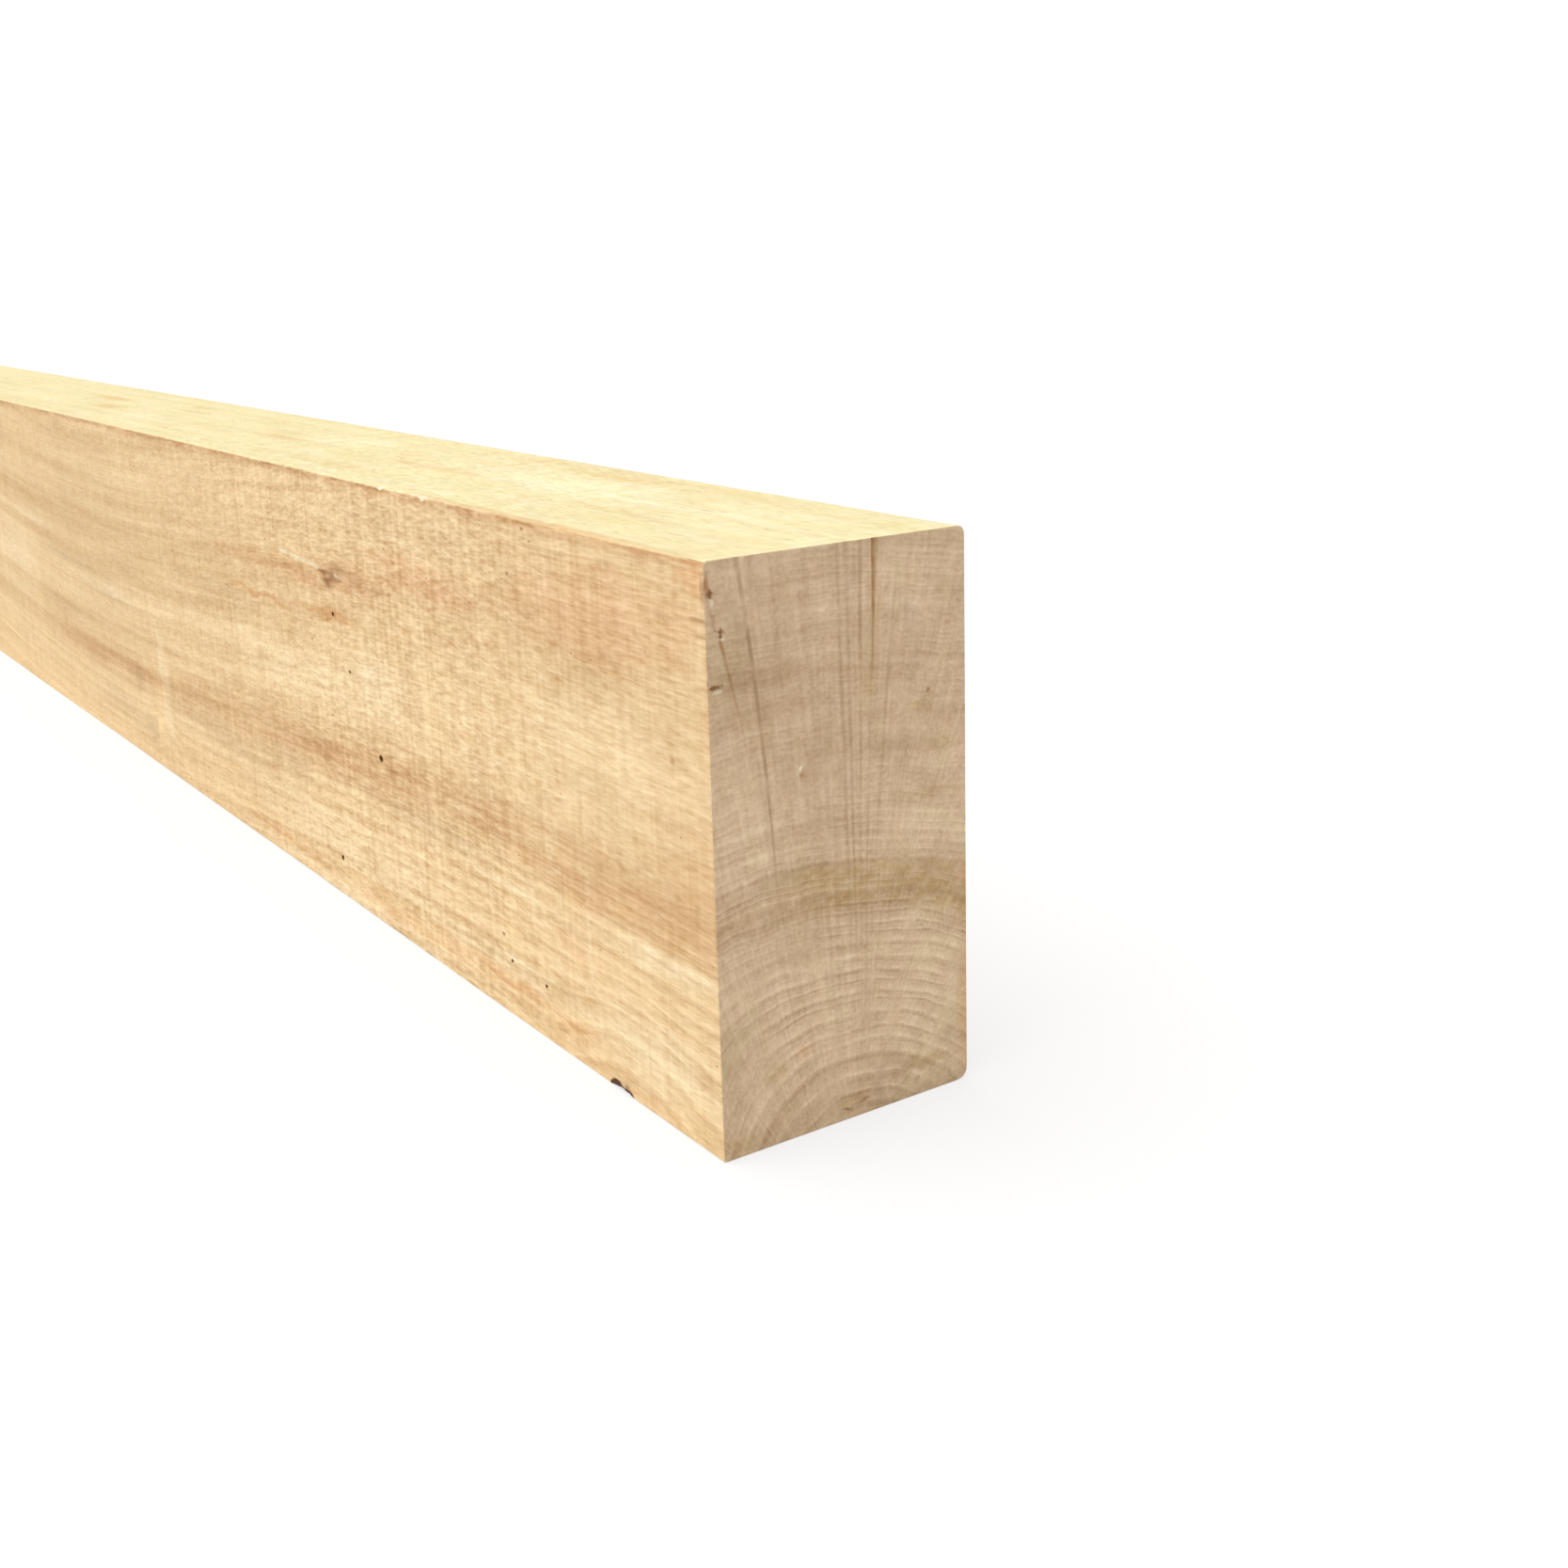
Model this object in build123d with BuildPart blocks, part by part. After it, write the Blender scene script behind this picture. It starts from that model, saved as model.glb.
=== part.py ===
"""Fresh-sawn oak beam, one piece of stock, standing on its narrow edge.

X runs along the beam, and the cut end with the drying checks is at +X.
Y runs across the narrow section: the front wide side is at -Y, the back one at +Y.
Z is up, and the beam rests on z = 0. All sizes are in millimetres.
"""

from build123d import *
from math import pi, sin
import os

# The stock: nominal 100 x 200 mm section, cut a little full while green, and its length.
beam_length = 2400
beam_width = 104
beam_height = 200

# The back arrises are worn round, the lower one most.
top_back_radius = 3.0
bottom_back_radius = 4.2

# The front arrises are eased by a facet whose depth wanders along the beam in a beating wave.
top_front_ease = 0.45
top_front_wander = 0.25
top_front_wave = 640
bottom_front_ease = 0.35
bottom_front_wander = 0.2
bottom_front_wave = 470
wave_beat = 2.7
ease_step = 80

# Drying checks open on the cut end, follow the rays and close inside the wood.
# A mouth's points are (distance across, distance down from the top).
# The main check is measured across from the middle of the section, the others from the front side.
main_check_start = (13.1, -1.5)
main_check_bend = (12.9, 24)
main_check_tip = (12.0, 52)
main_check_width = 0.8
main_check_depth = 45

long_check_start = (12.4, 8)
long_check_bend = (19.0, 52)
long_check_tip = (23.6, 110)
long_check_width = 0.55
long_check_depth = 32

short_check_start = (5.4, 26)
short_check_bend = (11.1, 50)
short_check_tip = (16.8, 76)
short_check_width = 0.55
short_check_depth = 24

# A fissure in the grain at a small knot on the front side, which dips towards the cut end.
# Its floor is smaller than its mouth.
knot_from_end = 313
knot_from_top = 46.0
knot_length = 32
knot_height = 4.2
knot_depth = 2.4
knot_floor_share = 0.45
knot_dip = 4

# Borer's pin holes on the front side: distance from the cut end, height, radius and depth.
# The tunnels lean away from the cut end as they go in.
pin_holes = [
    (268.5, 79.1, 1.25, 9),
    (312.0, 136.8, 0.8, 5),
    (324.4, 19.0, 1.0, 7),
    (297.0, 112.8, 0.6, 4),
    (149.7, 23.2, 0.6, 4),
    (121.6, 21.9, 0.6, 4),
]
pin_hole_lean = 42

# A bark pocket that the saw opened on the lower front arris.
pocket_from_end = 68
pocket_length = 16
pocket_radius = 2.4

# What is missing from the upper front arris: distance from the cut end, length and radius.
# The first is the worn corner, the others are a splinter and a nick.
arris_chips = [(0, 22, 1.5), (205.5, 13, 1.2), (248, 8, 1.0)]

# Pits torn into the cut end: distance from the front side and from the top, length and radius.
# The upright ones lie along the end, and the level one comes out on the front side.
upright_pits = [(2.2, 10.6, 3.4, 1.1), (5.7, 23.1, 2.8, 1.1)]
level_pits = [(2.2, 40.2, 5.4, 0.9)]

# How far a cutting shape runs past the face that it opens.
cut_overrun = 0.5

front = -beam_width / 2
cut_end = beam_length / 2
along = (1, 0, 0)
across = (0, 1, 0)
up = (0, 0, 1)


def build_blank():
    """The sawn section with its two worn back arrises, drawn out to the stock's length."""
    with BuildPart() as blank:
        with BuildSketch(Plane.YZ.offset(-cut_end)) as section:
            with Locations((0, beam_height / 2)):
                Rectangle(beam_width, beam_height)
            # In the sketch X runs across the section and Y runs up.
            fillet(section.vertices().group_by(Axis.X)[-1].sort_by(Axis.Y)[0], bottom_back_radius)
            fillet(section.vertices().group_by(Axis.X)[-1].sort_by(Axis.Y)[-1], top_back_radius)
        extrude(amount=beam_length)
    return blank.part


def build_arris_ease(height, inward, ease, wander, wave):
    """What a wandering facet takes off the front arris at this height.

    It is drawn in the plane that halves the corner: along the beam, and inward from the arris.
    """
    reach = cut_end + ease_step
    steps = round(2 * reach / ease_step)
    halving_plane = Plane(origin=(0, front, height), x_dir=along, z_dir=Vector(along).cross(Vector(inward)))
    points = []
    for step in range(steps + 1):
        x = -reach + 2 * reach * step / steps
        beating = sin(2 * pi * x / wave) * sin(2 * pi * x / (wave_beat * wave))
        points.append((x, ease + wander * beating))
    outside = 2 * (ease + wander)
    with BuildPart() as facet:
        with BuildSketch(halving_plane):
            with BuildLine():
                edge = Spline(*points)
                Polyline(edge @ 0, (-reach, -outside), (reach, -outside), edge @ 1)
            make_face()
        extrude(amount=2 * outside, both=True)
    return facet.part


def build_drying_check(datum, start, bend, tip, width, depth):
    """A crack, widest where it starts, that bends with the rays and closes inside the wood."""
    start_point = Vector(datum + start[0], beam_height - start[1])
    bend_point = Vector(datum + bend[0], beam_height - bend[1])
    tip_point = Vector(datum + tip[0], beam_height - tip[1])
    middle = (start_point + tip_point) / 2
    half_gap = (tip_point - start_point).rotate(Axis.Z, 90).normalized() * (width / 2)
    with BuildPart() as check:
        with BuildSketch(Plane.YZ.offset(cut_end)) as mouth:
            with BuildLine():
                near_lip = Spline(start_point - half_gap, bend_point - half_gap, tip_point)
                far_lip = Spline(start_point + half_gap, bend_point + half_gap, tip_point)
                Line(near_lip @ 0, far_lip @ 0)
            make_face()
        loft(sections=[mouth.sketch, Vertex(cut_end - depth, middle.X, middle.Y)])
    return check.part


def build_knot_fissure():
    """A lens-shaped opening along the grain, which narrows to its floor."""
    centre = (cut_end - knot_from_end, front, beam_height - knot_from_top)
    side = Plane(origin=centre, x_dir=along, z_dir=across).rotated((0, knot_dip, 0))
    with BuildPart() as fissure:
        for inset, share in ((-cut_overrun, 1), (knot_depth, knot_floor_share)):
            half_length = knot_length / 2 * share
            half_height = knot_height / 2 * share
            with BuildSketch(side.offset(inset)):
                with BuildLine():
                    lip = ThreePointArc((-half_length, 0), (0, -half_height), (half_length, 0))
                    ThreePointArc(lip @ 1, (0, half_height), lip @ 0)
                make_face()
        loft()
    return fissure.part


def build_pin_hole(from_end, height, radius, depth):
    """A leaning round tunnel, which meets the front side as an oval."""
    mouth = Plane(origin=(cut_end - from_end, front, height), x_dir=along, z_dir=across)
    with BuildPart(mouth.rotated((0, 0, pin_hole_lean))) as hole:
        Cylinder(radius, 2 * depth)
    return hole.part


def build_spindle(centre, direction, aside, length, radius):
    """A spindle along a direction that tapers to both its ends, for a chip, a pit or the pocket.

    It is drawn in the plane that is square to the direction aside.
    """
    with BuildPart() as spindle:
        with BuildSketch(Plane(origin=centre, x_dir=direction, z_dir=aside)):
            with BuildLine():
                arc = ThreePointArc((-length / 2, 0), (0, radius), (length / 2, 0))
                Line(arc @ 1, arc @ 0)
            make_face()
        revolve(axis=Axis(centre, direction))
    return spindle.part


cuts = [
    build_arris_ease(beam_height, (0, 1, -1), top_front_ease, top_front_wander, top_front_wave),
    build_arris_ease(0, (0, 1, 1), bottom_front_ease, bottom_front_wander, bottom_front_wave),
    build_drying_check(
        0, main_check_start, main_check_bend, main_check_tip, main_check_width, main_check_depth
    ),
    build_drying_check(
        front, long_check_start, long_check_bend, long_check_tip, long_check_width, long_check_depth
    ),
    build_drying_check(
        front, short_check_start, short_check_bend, short_check_tip, short_check_width, short_check_depth
    ),
    build_knot_fissure(),
    build_spindle((cut_end - pocket_from_end, front, 0), along, across, pocket_length, pocket_radius),
]
for from_end, height, radius, depth in pin_holes:
    cuts.append(build_pin_hole(from_end, height, radius, depth))
for from_end, length, radius in arris_chips:
    cuts.append(build_spindle((cut_end - from_end, front, beam_height), along, across, length, radius))
for direction, pits in ((up, upright_pits), (across, level_pits)):
    for inward, down, length, radius in pits:
        place = (cut_end, front + inward, beam_height - down)
        cuts.append(build_spindle(place, direction, along, length, radius))

with BuildPart() as oak_beam:
    add(build_blank())
    for cut in cuts:
        add(cut, mode=Mode.SUBTRACT)

oak_beam.part.label = "oak_beam"
os.makedirs("parts", exist_ok=True)
export_step(oak_beam.part, "parts/oak_beam.step")
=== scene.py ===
"""A fresh-sawn oak beam on a pale studio floor, laid out as a Blender add-on."""

from math import cos, pi, radians, sin

import bmesh
import bpy
import numpy as np
from mathutils import Matrix, Vector, noise


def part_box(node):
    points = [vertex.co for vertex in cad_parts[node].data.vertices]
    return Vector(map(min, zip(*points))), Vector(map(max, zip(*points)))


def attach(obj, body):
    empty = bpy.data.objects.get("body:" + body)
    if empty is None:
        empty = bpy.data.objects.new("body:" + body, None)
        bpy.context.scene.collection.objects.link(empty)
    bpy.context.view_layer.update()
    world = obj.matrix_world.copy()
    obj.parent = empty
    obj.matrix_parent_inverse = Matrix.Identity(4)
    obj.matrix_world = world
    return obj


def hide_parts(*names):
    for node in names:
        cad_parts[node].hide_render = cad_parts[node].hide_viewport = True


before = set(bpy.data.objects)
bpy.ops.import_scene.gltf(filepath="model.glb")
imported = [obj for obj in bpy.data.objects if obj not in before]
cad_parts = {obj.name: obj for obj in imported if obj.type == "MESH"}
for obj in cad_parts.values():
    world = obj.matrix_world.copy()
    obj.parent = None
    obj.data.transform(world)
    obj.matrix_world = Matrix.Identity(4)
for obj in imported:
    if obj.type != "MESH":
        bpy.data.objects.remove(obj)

bl_info = {
    "name": "Oak beam",
    "version": (1, 0, 0),
    "blender": (4, 5, 0),
    "location": "3D View > Sidebar > Oak beam",
    "description": "Builds a fresh-sawn oak beam and a plain studio to look at it in",
    "category": "Add Mesh",
}

NODE = "oak_beam"
MM = 0.001
LENGTH, WIDTH, HEIGHT = (round((high - low) / MM) for low, high in zip(*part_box(NODE)))
CUT_END = LENGTH / 2
FRONT = -WIDTH / 2
TOP = HEIGHT

# The beam's features, in millimetres. They are where the solids have them, within a few millimetres,
# and go in less deep, as far as the eye sees.
# Front arrises: how deep the easing facet cuts, how far that wanders, and the length of its wave.
TOP_FRONT_EASE = (0.45, 0.25, 640)
BOTTOM_FRONT_EASE = (0.35, 0.2, 470)
WAVE_BEAT = 2.7
TOP_BACK_RADIUS = 3.0
BOTTOM_BACK_RADIUS = 4.2
# A round of radius r takes this share of r off a square corner, along the line that halves it.
ROUND_CUT = 2 ** 0.5 - 1

# Drying checks on the cut end: start, bend and tip as (across from the front side, down from the
# top), the width of the mouth, how deep the groove is, the mark that its wood is given, and how
# strongly that shows at four places from start to tip.
CHECKS = [
    ((65.1, -1.5), (64.9, 24), (64.0, 52), 1.1, 0.4, "stain", (1.0, 1.0, 0.8, 0.0)),
    ((12.0, 0), (18.6, 48), (24.6, 124), 1.2, 0.12, "ray_line", (0.5, 0.95, 0.75, 0.1)),
    ((5.4, 26), (10.4, 46), (17.6, 80), 0.9, 0.12, "stain", (0.9, 0.7, 0.2, 0.0)),
]
CHECK_PLACES = (0.0, 0.2, 0.6, 1.0)
# Knot on the front side: distance from the cut end and from the top, length and dip.
KNOT = (313, 46.0, 27, radians(4))
KNOT_HEIGHT = 5.0
KNOT_DEPTH = 0.9
# Borer's pin holes on the front side: distance from the cut end, height, radius and depth.
PIN_HOLES = [
    (268.5, 79.1, 1.25, 2.2),
    (312.0, 136.8, 0.8, 1.5),
    (324.4, 19.0, 1.0, 1.8),
    (297.0, 112.8, 0.6, 0.8),
    (149.7, 23.2, 0.6, 0.8),
    (121.6, 21.9, 0.6, 0.8),
]
PIN_HOLE_LEAN = radians(42)
# Pale lips by the knot, partly pale torn wood and partly a painted highlight along its upper rim: both
# ends as (distance from the cut end, down from the top).
KNOT_LIPS = [((378, 41.0), (322, 43.6)), ((309, 44.8), (299, 46.2)), ((290, 48.6), (276, 50.0))]
# What is gone from the front arrises: distance from the cut end, length, depth, height, the mark that
# the wood is given there and how strongly it shows. The first is the worn corner, then come a splinter
# and a nick, and the last is the bark pocket.
ARRIS_LOSSES = [
    (0, 22, 0.9, TOP, "fresh", 0.0),
    (205.5, 13, 1.0, TOP, "fresh", 0.8),
    (248, 8, 0.9, TOP, "fresh", 0.8),
    (67, 17, 0.9, 0, "bark", 1.0),
]
# How high the bark in the pocket reaches up the front side.
BARK_RISE = 3.1
# Pits in the cut end by its front arris: across, down from the top, half width, half height, depth.
END_PITS = [(2.2, 10.6, 1.0, 1.5, 0.6), (5.7, 23.1, 1.1, 1.1, 0.6), (2.4, 40.2, 2.4, 0.8, 0.6)]

# The log that the beam was sawn from: where its pith runs, as (aside from the middle of the section,
# height), and where from, how far and in how long a wave the grain dips away from the cut end.
PITH = (4.5, -25.0)
DRIFT_START = 120.0
DRIFT = 25.5
DRIFT_WAVE = 1160.0
# Swellings in the log on the lower front side: distance from the cut end, half sizes, and how far
# each lifts the rings.
SWELLINGS = [(58, 64, 45, 58, 14), (592, 40, 40, 66, 10)]

# Marks that the mesh carries, in the order that the materials lay them.
MARKS = ("ray_line", "stain", "fresh", "hollow", "bark")
# How far the patches of the front side and the end reach into the wood.
PATCH_REACH = 30


def linear(code):
    """An sRGB hex colour as the linear red, green, blue and alpha that a socket takes."""
    parts = [int(code[i:i + 2], 16) / 255 for i in (1, 3, 5)]
    return tuple(c / 12.92 if c <= 0.04045 else ((c + 0.055) / 1.055) ** 2.4 for c in parts) + (1.0,)


WHITE = linear("#FFFFFF")


def colour_property(name, description, code):
    return bpy.props.FloatVectorProperty(
        name=name, description=description, default=linear(code), subtype="COLOR", size=4, min=0, max=1
    )


def length_property(name, description, size):
    return bpy.props.FloatProperty(
        name=name, description=description, default=size, min=0.0001, unit="LENGTH", subtype="DISTANCE"
    )


class BeamSizes(bpy.types.PropertyGroup):
    """Sizes that shape the mesh and the figure of the wood."""

    pitch: length_property("Mesh pitch", "Largest side of a face on the plain sides", 10.5 * MM)
    end_pitch: length_property("End pitch", "Largest side of a face on the ends", 6 * MM)
    end_ease: length_property("End ease", "Radius of the edges round the ends", 0.4 * MM)
    saw_relief: length_property("Saw relief", "How deep the saw's long waves are", 0.18 * MM)
    ring: length_property("Ring", "Width of a growth ring at a tenth of a metre from the pith", 3.8 * MM)
    fibre: length_property("Fibre", "Width of a torn fibre, drawn coarse enough to show", 1.3 * MM)
    tooth: length_property("Tooth mark", "Spacing of the marks that the saw's teeth left", 2.8 * MM)


class BeamColours(bpy.types.PropertyGroup):
    """Colours of the wood, with a painted highlight on the top and painted shade in its hollows."""

    side: colour_property("Side", "Average colour of the long sides", "#ECCB9A")
    # The dark side colour is partly pores and torn fibre, and partly painted shadow in the fuzzy sawn
    # surface.
    side_dark: colour_property("Dark side", "Pores and torn fibre on the long sides", "#D2AA77")
    # The top's colours are painted paler than the sides': a painted highlight for the stronger light that
    # falls on the top.
    top: colour_property("Top", "Average colour of the top", "#ECDDAC")
    top_dark: colour_property("Dark top", "Pores on the top", "#DFCB95")
    top_pale: colour_property("Pale top", "Palest patches on the top", "#F4EDC6")
    top_streak: colour_property("Top streak", "Duller patches and streaks on the top", "#E0C58C")
    end: colour_property("End grain", "Average colour of the ends", "#D6B997")
    end_dark: colour_property("Dark end grain", "Rays and pores on the ends", "#AF8C68")
    end_pale: colour_property("Pale end grain", "Palest patches on the ends", "#E9D0A9")
    end_olive: colour_property("Dull end grain", "Greenish patches on the ends", "#B29B72")
    streak: colour_property("Streak", "Brown growth band on the long sides", "#C08A58")
    end_band: colour_property("End band", "The same growth band on the end", "#BF9E6C")
    pink: colour_property("Flushed wood", "Reddish wood by the upper front arris and the knot", "#E3AE7F")
    orange: colour_property("Orange stain", "Stain by the knot, the holes and the arrises", "#D08E52")
    light: colour_property("Light patch", "Pale patches on the long sides", "#FBE8C0")
    grey: colour_property("Grey patch", "Duller patches on the long sides", "#CBAE86")
    stain: colour_property("Check stain", "Reddish wood in checks, specks and the knot", "#A87C52")
    ray_line: colour_property("Ray line", "Greyish wood where a ray has begun to part", "#A88A66")
    fresh: colour_property("Fresh break", "Pale wood where a splinter came off", "#FCF0D2")
    # Painted shade darkens the wood inside holes and pits, the knot's core and a few spots on the end.
    hollow: colour_property("Hollow", "Shaded wood inside holes and pits", "#8A6238")
    bark: colour_property("Bark", "Bark left in the pocket", "#5E3C28")


class StageSizes(bpy.types.PropertyGroup):
    """The camera's lens, the size of the floor and the strength of the light."""

    floor: length_property("Floor", "Side of the floor", 40.0)
    focal: bpy.props.FloatProperty(
        name="Focal length", description="Focal length of the camera's lens", default=42.175, min=1,
        unit="CAMERA",
    )
    lamp: bpy.props.FloatProperty(
        name="Lamp", description="Strength of the overhead lamp", default=1.95, min=0
    )
    ambient: bpy.props.FloatProperty(
        name="Ambient", description="Strength of the light from all round", default=0.64, min=0
    )


class Outline:
    """The beam's skin as flat rectangles, split finer where a feature needs it. In millimetres."""

    def __init__(self, lines, target):
        self.low, self.high, self.face = self.six_faces(lines)
        while self.split(target):
            pass

    @staticmethod
    def six_faces(lines):
        """Every cell of the grid on each of the box's six faces."""
        lows, highs, faces = [], [], []
        for axis in range(3):
            u, v = [a for a in range(3) if a != axis]
            u0, v0 = np.meshgrid(lines[u][:-1], lines[v][:-1], indexing="ij")
            u1, v1 = np.meshgrid(lines[u][1:], lines[v][1:], indexing="ij")
            for side, at in enumerate((lines[axis][0], lines[axis][-1])):
                low = np.empty((u0.size, 3))
                high = np.empty((u0.size, 3))
                low[:, u], low[:, v], low[:, axis] = u0.ravel(), v0.ravel(), at
                high[:, u], high[:, v], high[:, axis] = u1.ravel(), v1.ravel(), at
                lows.append(low)
                highs.append(high)
                faces.append(np.full(u0.size, 2 * axis + side))
        return np.vstack(lows), np.vstack(highs), np.concatenate(faces)

    def split(self, target):
        """Halves each cell along each side that is longer than the target there."""
        changed = False
        for axis in range(3):
            wide = (self.high - self.low)[:, axis] > target(self.low, self.high, self.face)
            if not wide.any():
                continue
            changed = True
            middle = (self.low[wide, axis] + self.high[wide, axis]) / 2
            first_high = self.high[wide].copy()
            first_high[:, axis] = middle
            second_low = self.low[wide].copy()
            second_low[:, axis] = middle
            self.low = np.vstack((self.low[~wide], self.low[wide], second_low))
            self.high = np.vstack((self.high[~wide], first_high, self.high[wide]))
            self.face = np.concatenate((self.face[~wide], self.face[wide], self.face[wide]))
        return changed

    def polygons(self):
        """The corner points, and each cell as a loop of point numbers with its neighbours' corners."""
        # Corners are matched on a grid this fine.
        grain = 1e-4
        axes = [[a for a in range(3) if a != f // 2] for f in range(6)]
        u = np.array([a[0] for a in axes])[self.face]
        v = np.array([a[1] for a in axes])[self.face]
        rows = np.arange(len(self.face))
        corners = []
        for at_u, at_v in ((0, 0), (1, 0), (1, 1), (0, 1)):
            point = self.low.copy()
            point[rows, u] = np.where(at_u, self.high[rows, u], self.low[rows, u])
            point[rows, v] = np.where(at_v, self.high[rows, v], self.low[rows, v])
            corners.append(point)
        keys = np.round(np.concatenate(corners) / grain).astype(np.int64)
        unique, number = np.unique(keys, axis=0, return_inverse=True)
        number = number.reshape(4, -1).T
        orders, ranks = [], []
        for axis in range(3):
            b, c = [a for a in range(3) if a != axis]
            order = np.lexsort((unique[:, axis], unique[:, b], unique[:, c]))
            rank = np.empty(len(unique), dtype=np.int64)
            rank[order] = np.arange(len(unique))
            orders.append(order.tolist())
            ranks.append(rank.tolist())
        loops = []
        # The loop runs anticlockwise from outside on these faces, and is turned round on the others.
        outward = (1, 2, 5)
        cells = zip(self.face.tolist(), u.tolist(), v.tolist(), number.tolist())
        for face, along_u, along_v, corner in cells:
            loop = []
            for side, axis in enumerate((along_u, along_v, along_u, along_v)):
                rank, order = ranks[axis], orders[axis]
                a, b = rank[corner[side]], rank[corner[(side + 1) % 4]]
                loop += order[a:b] if a < b else order[a:b:-1]
            loops.append(loop if face in outward else loop[::-1])
        return unique * grain, loops


def spaced_lines(low, high, edge_steps, pitch):
    """Grid lines across a side: close together at both edges, and about a pitch apart between."""
    near = [low + step for step in edge_steps]
    far = [high - step for step in reversed(edge_steps)]
    count = max(1, round((far[0] - near[-1]) / pitch))
    middle = np.linspace(near[-1], far[0], count + 1)[1:-1]
    return np.array([*near, *middle, *far])


def check_line(start, bend, tip, count=24):
    """Points on the curve through a check's start, bend and tip, as (y, z)."""
    share = np.linspace(0, 1, count)[:, None]
    start, bend, tip = (np.array([FRONT + across, TOP - down]) for across, down in (start, bend, tip))
    turn = np.linalg.norm(bend - start) / np.linalg.norm(tip - start)
    control = (bend - (1 - turn) ** 2 * start - turn ** 2 * tip) / (2 * turn * (1 - turn))
    return (1 - share) ** 2 * start + 2 * share * (1 - share) * control + share ** 2 * tip


def distance_to_line(points, line):
    """Distance of each point from a line of points, and how far along it the nearest place is."""
    a, b = line[:-1], line[1:]
    run = b - a
    along = ((points[:, None, :] - a) * run).sum(2) / (run ** 2).sum(1)
    along = along.clip(0, 1)
    gap = np.linalg.norm(points[:, None, :] - (a + along[..., None] * run), axis=2)
    nearest = gap.argmin(1)
    rows = np.arange(len(points))
    return gap[rows, nearest], (nearest + along[rows, nearest]) / len(a)


def knot_line():
    """The knot's length as a line of (x, z) points, which dips towards the cut end."""
    from_end, from_top, length, dip = KNOT
    half = length / 2 * np.array([cos(dip), -sin(dip)])
    centre = np.array([CUT_END - from_end, TOP - from_top])
    return np.array([centre - half, centre + half])


def lip_line(lip):
    """A pale lip's two ends as (x, z) points."""
    return np.array([[CUT_END - from_end, TOP - down] for from_end, down in lip])


def arris_line(from_end, length, height):
    """Both ends of a stretch of a front arris."""
    return np.array([[CUT_END - from_end + side * length / 2, FRONT, height] for side in (-1, 1)])


def target_size(sizes):
    """The function that says how large a cell may be at a place on the skin."""
    pitch, end_pitch = sizes.pitch / MM, sizes.end_pitch / MM
    checks = [(check_line(*check[:3]), check[3]) for check in CHECKS]
    losses = [(arris_line(at, length, height), depth) for at, length, depth, height, *_ in ARRIS_LOSSES]

    def target(low, high, face):
        centre = (low + high) / 2
        reach = np.linalg.norm(high - low, axis=1) / 2
        size = np.where(face < 2, end_pitch, pitch)

        def refine(where, gap, finest, growth):
            """Cells are finest up to a gap of 0, and grow with the gap beyond it."""
            size[where] = np.minimum(size[where], np.maximum(finest, growth * (gap - reach[where])))

        # The ends are faces 0 and 1, and the cut end is 1. The front side is 2.
        cut, front = face == 1, face == 2
        side = centre[front][:, [0, 2]]
        for from_end, height, radius, _depth in PIN_HOLES:
            gap = np.linalg.norm(side - (CUT_END - from_end, height), axis=1)
            refine(front, gap - 1.6 * radius, radius / 4, 0.5)
        gap, _ = distance_to_line(side, knot_line())
        refine(front, gap - KNOT_HEIGHT / 2, 0.7, 0.4)
        for lip in KNOT_LIPS:
            gap, _ = distance_to_line(side, lip_line(lip))
            refine(front, gap - 1.0, 0.7, 0.5)
        end = centre[cut][:, 1:]
        for line, width in checks:
            gap, _ = distance_to_line(end, line)
            refine(cut, gap - width / 2, 0.32, 0.55)
        for across, down, half_width, half_height, _depth in END_PITS:
            away = (end - (FRONT + across, TOP - down)) / (half_width, half_height)
            gap = (np.linalg.norm(away, axis=1) - 1.2) * half_height
            refine(cut, gap, 0.28, 0.5)
        everywhere = np.ones(len(face), dtype=bool)
        for line, depth in losses:
            gap, _ = distance_to_line(centre, line)
            refine(everywhere, gap - depth, 0.45, 0.45)
        return size

    return target


def wavering(points, scale, seed):
    """Smooth noise from -1 to 1 at each point. The scale is the size of its lumps along X, Y and Z."""
    shift = Vector((seed * 17.3, seed * 5.1, seed * 9.7))
    places = points / np.array(scale)
    return np.array([noise.noise(Vector(p) + shift) for p in places.tolist()])


def wandering_ease(x, ease, wander, wave):
    """Depth of the easing on a front arris, which comes and goes along the beam in a beating wave."""
    return ease + wander * np.sin(2 * pi * x / wave) * np.sin(2 * pi * x / (WAVE_BEAT * wave))


def round_long_arrises(points):
    """Rounds the four arrises that run along the beam, each with its own radius."""
    x = points[:, 0]
    flutter = 1 + 0.3 * wavering(points, (14, 500, 500), 1) + 0.2 * wavering(points, (4, 500, 500), 2)
    radii = {
        (-1, 1): wandering_ease(x, *TOP_FRONT_EASE) / ROUND_CUT * flutter,
        (-1, -1): wandering_ease(x, *BOTTOM_FRONT_EASE) / ROUND_CUT * flutter,
        (1, 1): TOP_BACK_RADIUS * (0.6 + 0.4 * flutter),
        (1, -1): BOTTOM_BACK_RADIUS * (0.6 + 0.4 * flutter),
    }
    half = np.array([WIDTH, HEIGHT]) / 2
    centre = np.array([0.0, HEIGHT / 2])
    flat = points[:, 1:] - centre
    for signs, radius in radii.items():
        inner = half - radius[:, None]
        over = flat * signs - inner
        inside = (over > 0).all(1)
        over = over[inside]
        squashed = over * (over.max(1) / np.linalg.norm(over, axis=1))[:, None]
        flat[inside] = (inner[inside] + squashed) * signs
    rounded = points.copy()
    rounded[:, 1:] = flat + centre
    return rounded


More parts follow.
